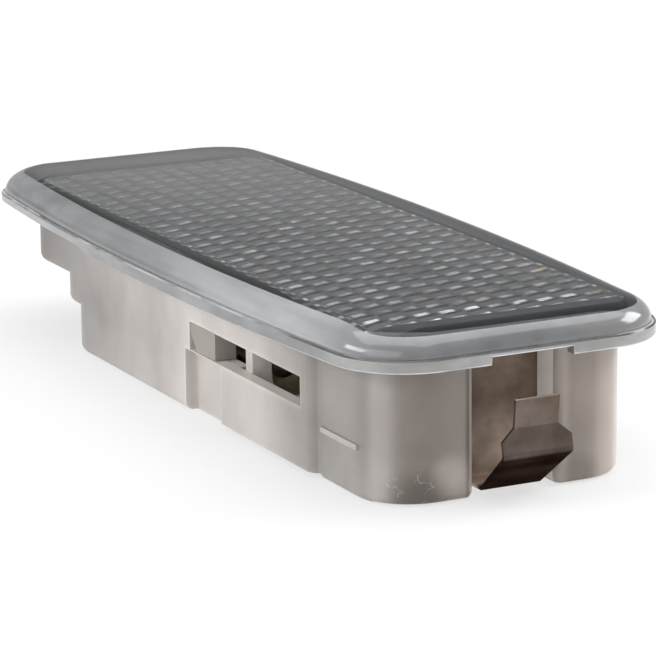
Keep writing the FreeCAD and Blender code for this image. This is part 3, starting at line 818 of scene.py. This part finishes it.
def well_ring():
    """A rectangle with round corners: the edge of the thin plate that carries the prisms."""
    middle = (well_far_x + well_near_x) / 2
    reach = (well_near_x - well_far_x) / 2 - well_corner
    ring = []
    for quarter, (sx, sy) in enumerate(((1, 1), (-1, 1), (-1, -1), (1, -1))):
        for i in range(well_corner_parts + 1):
            angle = math.pi / 2 * (quarter + i / well_corner_parts)
            ring.append((middle + sx * reach + well_corner * math.cos(angle),
                         sy * (well_half_y - well_corner) + well_corner * math.sin(angle)))
    return ring


def add_tongue(build, side, slot):
    """A snap tongue under the rim; its barb fills part of the side window."""
    x0, x1 = tongue_x
    outline = [(x0, flange_low), (x1, flange_low), (x1, tongue_low), (x0 + tongue_chamfer, tongue_low),
               (x0, tongue_low + tongue_chamfer)]
    barb = [(x0, barb_high), (x1, barb_high)] + outline[2:]
    for points, (inner, outer) in ((outline, tongue_y), (barb, (tongue_y[1], barb_y))):
        rows = [[build.verts.new((x, side * y, z)) for x, z in points] for y in (inner, outer)]
        count = len(points)
        made = [build.faces.new(rows[0]), build.faces.new(rows[1][::-1])]
        for i in range(count):
            j = (i + 1) % count
            made.append(build.faces.new((rows[0][i], rows[0][j], rows[1][j], rows[1][i])))
        for face in made:
            face.material_index = slot["frosted"]


facet_slope = 0.05
back_teeth_x = 22 * mm


def faces_of(parts):
    """The faces among the parts that an operation made."""
    return [item for item in parts if isinstance(item, bmesh.types.BMFace)]


def add_prism_plate(build, clear, slot):
    """The prisms, the flat plate round them and the wall of their well; returns the wall's lower edges."""
    field = grown_mesh("prism_field", prism_field_tree(), {
        "Length": prism_columns * prism_pitch, "Width": prism_rows * prism_pitch, "Columns": prism_columns,
        "Rows": prism_rows, "Depth": prism_depth, "Tip": prism_tip, "Finish": clear})
    field.transform(Matrix.Translation((prism_field_x, 0, 0)))
    build.from_mesh(field)
    bmesh.ops.remove_doubles(build, verts=build.verts, dist=weld_gap)
    for vert in build.verts:
        vert.co.z = prism_base - abs(vert.co.z)
    build.normal_update()
    half_field = prism_pitch * prism_rows / 2
    outer_row = half_field - prism_pitch
    for face in build.faces:
        slope = face.normal.y * face.normal.z
        middle = face.calc_center_median()
        front_edge = slope > facet_slope and middle.y < -outer_row
        back_edge = slope < -facet_slope and middle.y > outer_row and middle.x > back_teeth_x
        face.material_index = slot["comb" if front_edge or back_edge else "facets"]
    field_edge = [edge for edge in build.edges if edge.is_boundary]
    plate = [build.verts.new((x, y, prism_base)) for x, y in well_ring()]
    plate_edge = [build.edges.new((plate[i - 1], plate[i])) for i in range(len(plate))]
    margin = bmesh.ops.triangle_fill(build, use_beauty=True, edges=field_edge + plate_edge)["geom"]
    for face in faces_of(margin):
        beside = abs(face.calc_center_median().y) > half_field
        face.material_index = slot["comb" if beside else "shaded"]
    wall = bmesh.ops.extrude_edge_only(build, edges=plate_edge)["geom"]
    for vert in (item for item in wall if isinstance(item, bmesh.types.BMVert)):
        vert.co.z = flange_low
    for face in faces_of(wall):
        y = face.calc_center_median().y
        face.material_index = slot["teeth" if y < -half_field else "comb" if y > half_field else "shaded"]
    return [item for item in wall if isinstance(item, bmesh.types.BMEdge) and item.is_boundary]


def add_rim(build, slot):
    """The skirt, the bevel and the crowned top as a stack of rings; returns the ring inside the skirt."""
    profile = [(skirt_wall, 0.0, "flange"), (skirt_wall, 0.0, "edge"), (edge_round, 0.0, "edge"),
               (0.0, edge_round, "edge"), (0.0, lip_height - edge_round, "skirt"),
               (edge_round, lip_height, "skirt"), (lip_shoulder, lip_height, "skirt")]
    rings = []
    for inset, height, base in profile:
        ring = []
        for outer, point in zip(lens_ring(0.0), lens_ring(inset)):
            level = {"flange": flange_low, "edge": skirt_edge(outer), "skirt": skirt_low}[base]
            ring.append(build.verts.new((point.x, point.y, level + height)))
        rings.append(ring)
    bevel_low = skirt_low + lip_height
    bevel_rise = lens_top - lens_crown - bevel_low
    last = lens_ring(bevel_width)
    for turn in range(1, bevel_turns + 1):
        ring = []
        for outer, inner in zip(lens_ring(0.0), last):
            angle = bevel_angle(turn, outer)
            inset = lip_shoulder + (bevel_width - lip_shoulder) * (1 - math.cos(angle))
            point = outer.lerp(inner, inset / bevel_width)
            ring.append(build.verts.new((point.x, point.y, bevel_low + bevel_rise * math.sin(angle))))
        rings.append(ring)
    for share in crown_shares:
        z = lens_top - lens_crown * share ** 2
        rings.append([build.verts.new((p.x * share, p.y * share, z)) for p in last])
    bands = ["frosted", "clear", "edge", "skirt", "shoulder", "clear"] + ["satin"] * satin_turns
    bands += ["clear"] * (len(rings) - 1 - len(bands))
    for band, lower, upper in zip(bands, rings, rings[1:]):
        count = len(lower)
        for i in range(count):
            j = (i + 1) % count
            face = build.faces.new((lower[i], lower[j], upper[j], upper[i]))
            face.material_index = slot[band]
    build.faces.new(rings[-1])
    return rings[0]


def add_underside(build, inside, well, slot):
    """The flat underside of the rim, from the inside of the skirt to the well."""
    shade_ring = [build.verts.new((p.x, p.y, flange_low)) for p in lens_ring(flange_shade)]
    shade_edge = []
    for i in range(len(shade_ring)):
        j = (i + 1) % len(shade_ring)
        face = build.faces.new((shade_ring[i], shade_ring[j], inside[j], inside[i]))
        face.material_index = slot["frosted"]
        shade_edge.append(build.edges.get((shade_ring[i], shade_ring[j])))
    flange = bmesh.ops.triangle_fill(build, use_beauty=True, edges=well + shade_edge)["geom"]
    for face in faces_of(flange):
        face.material_index = slot["shaded"]


def lens_mesh(finishes):
    """The whole cover, with its finishes by name in the order of the mesh's slots."""
    slot = {name: index for index, name in enumerate(finishes)}
    build = bmesh.new()
    well = add_prism_plate(build, finishes["clear"], slot)
    inside = add_rim(build, slot)
    add_underside(build, inside, well, slot)
    for side in (-1, 1):
        add_tongue(build, side, slot)
    bmesh.ops.recalc_face_normals(build, faces=build.faces)
    mesh = bpy.data.meshes.new("lens_cover")
    build.to_mesh(mesh)
    build.free()
    for polygon in mesh.polygons:
        polygon.use_smooth = True
    mesh.set_sharp_from_angle(angle=sharp_angle)
    for material in finishes.values():
        mesh.materials.append(material)
    return mesh


lens_finishes = {
    "clear": clear_acrylic(),
    "frosted": frosted_acrylic(),
    "satin": satin_rim(),
    "facets": prism_facets("prism_facets", floor_tone=(0.175, 0.175, 0.177), line_tone=(0.018, 0.02, 0.022),
                           dash_tone=(0.10, 0.10, 0.102), last_gain=2.4, dash_reach=(0.10, 0.84)),
    "shaded": shaded_flange(),
    "comb": prism_facets("prism_comb", floor_tone=(0.085, 0.10, 0.105), line_tone=(0.06, 0.07, 0.075),
                         dash_tone=(0.34, 0.36, 0.36), last_gain=0.7, dash_reach=(-0.2, 1.2)),
    "edge": bright_edge(),
    "shoulder": shoulder_line(),
    "skirt": skirt_band(),
    "teeth": edge_teeth(),
}
lens_cover = bpy.data.objects.new("lens_cover", lens_mesh(lens_finishes))
bpy.context.scene.collection.objects.link(lens_cover)
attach(lens_cover, "root")
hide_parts("lens")

# Stage, light and camera.
# A pale floor with a soft shadow, a white surround, and wide soft lamps. The camera looks along
# the lamp from its spring end with a long lens.
floor_size = 3.0
floor_colour = (0.86, 0.86, 0.86, 1.0)
lit_share = 0.35


def seen_directly(look):
    """1 for rays from the camera, from gloss or through clear pieces, 0 for diffuse light."""
    rays = ("Is Camera Ray", "Is Glossy Ray", "Is Transmission Ray")
    direct, gloss, through = (look.node("ShaderNodeLightPath", ray, {}) for ray in rays)
    return look.reckon("MAXIMUM", look.reckon("MAXIMUM", direct, gloss), through)


def pale_floor():
    """White where it is seen, with the shadow of the lamp left in."""
    look = Finish(bpy.data.materials.new("pale_floor"))
    look.set("Base Color", floor_colour)
    look.set("Roughness", 0.9)
    glow = look.node("ShaderNodeEmission", "Emission", {"Strength": 1.0})
    share = look.reckon("MULTIPLY", seen_directly(look), 1.0 - lit_share)
    surface = look.node("ShaderNodeMixShader", "Shader",
                        {"Fac": share, 1: look.shader.outputs["BSDF"], 2: glow})
    look.feed(look.nodes["Material Output"].inputs["Surface"], surface)
    return look.owner


floor_mesh = bpy.data.meshes.new("floor")
half = floor_size / 2
floor_corners = [(-half, -half, 0), (half, -half, 0), (half, half, 0), (-half, half, 0)]
floor_mesh.from_pydata(floor_corners, [], [(0, 1, 2, 3)])
floor_mesh.materials.append(pale_floor())
floor = bpy.data.objects.new("floor", floor_mesh)
bpy.context.scene.collection.objects.link(floor)

world = bpy.data.worlds.new("studio")
bpy.context.scene.world = world
surround = Finish(world, "Background", "Generated")
height = surround.node("ShaderNodeSeparateXYZ", "Z", {"Vector": surround.place})
surround.set("Color", surround.ramp(height, [(0.0, grey(0.46)), (0.18, (0.40, 0.40, 0.405)),
                                             (0.26, (0.26, 0.265, 0.27)), (1.0, (0.42, 0.43, 0.44))]))
surround.set("Strength", 1.0)


def soft_lamp(name, place, target, size, watts):
    """A wide soft box, turned to a target."""
    data = bpy.data.lights.new(name, "AREA")
    data.shape = "RECTANGLE"
    data.size, data.size_y = size
    data.energy = watts
    lamp = bpy.data.objects.new(name, data)
    lamp.location = place
    lamp.rotation_euler = (Vector(target) - Vector(place)).to_track_quat("-Z", "Y").to_euler()
    bpy.context.scene.collection.objects.link(lamp)


soft_lamp("top_box", (-0.05, 0.05, 0.60), (0, 0, 0.01), (0.9, 0.7), 3.5)
soft_lamp("front_box", (-0.12, -0.48, 0.22), (0.01, 0, 0.01), (0.34, 0.15), 0.95)
soft_lamp("back_box", (0.10, 0.52, 0.33), (0.02, 0, 0.01), (0.38, 0.24), 2.0)
soft_lamp("fill_box", (0.40, -0.65, 0.30), (0.02, 0, 0.01), (0.8, 0.5), 1.6)

camera_place = Vector((296.70, -145.81, 87.68)) * mm
camera_yaw = math.radians(26.626)
camera_pitch = math.radians(13.884)
camera_roll = math.radians(-0.568)
camera_data = bpy.data.cameras.new("camera")
camera_data.sensor_width = 36.0
camera_data.lens = 188.46
flat = math.cos(camera_pitch)
back = Vector((math.cos(camera_yaw) * flat, -math.sin(camera_yaw) * flat, math.sin(camera_pitch)))
level = Vector((math.sin(camera_yaw), math.cos(camera_yaw), 0.0))
upward = back.cross(level)
right = math.cos(camera_roll) * level + math.sin(camera_roll) * upward
up = -math.sin(camera_roll) * level + math.cos(camera_roll) * upward
camera = bpy.data.objects.new("camera", camera_data)
turn = Matrix((right, up, back)).transposed().to_4x4()
camera.matrix_world = Matrix.Translation(camera_place) @ turn
bpy.context.scene.collection.objects.link(camera)
bpy.context.scene.camera = camera
bpy.context.scene.view_settings.view_transform = "Standard"

bpy.context.view_layer.update()
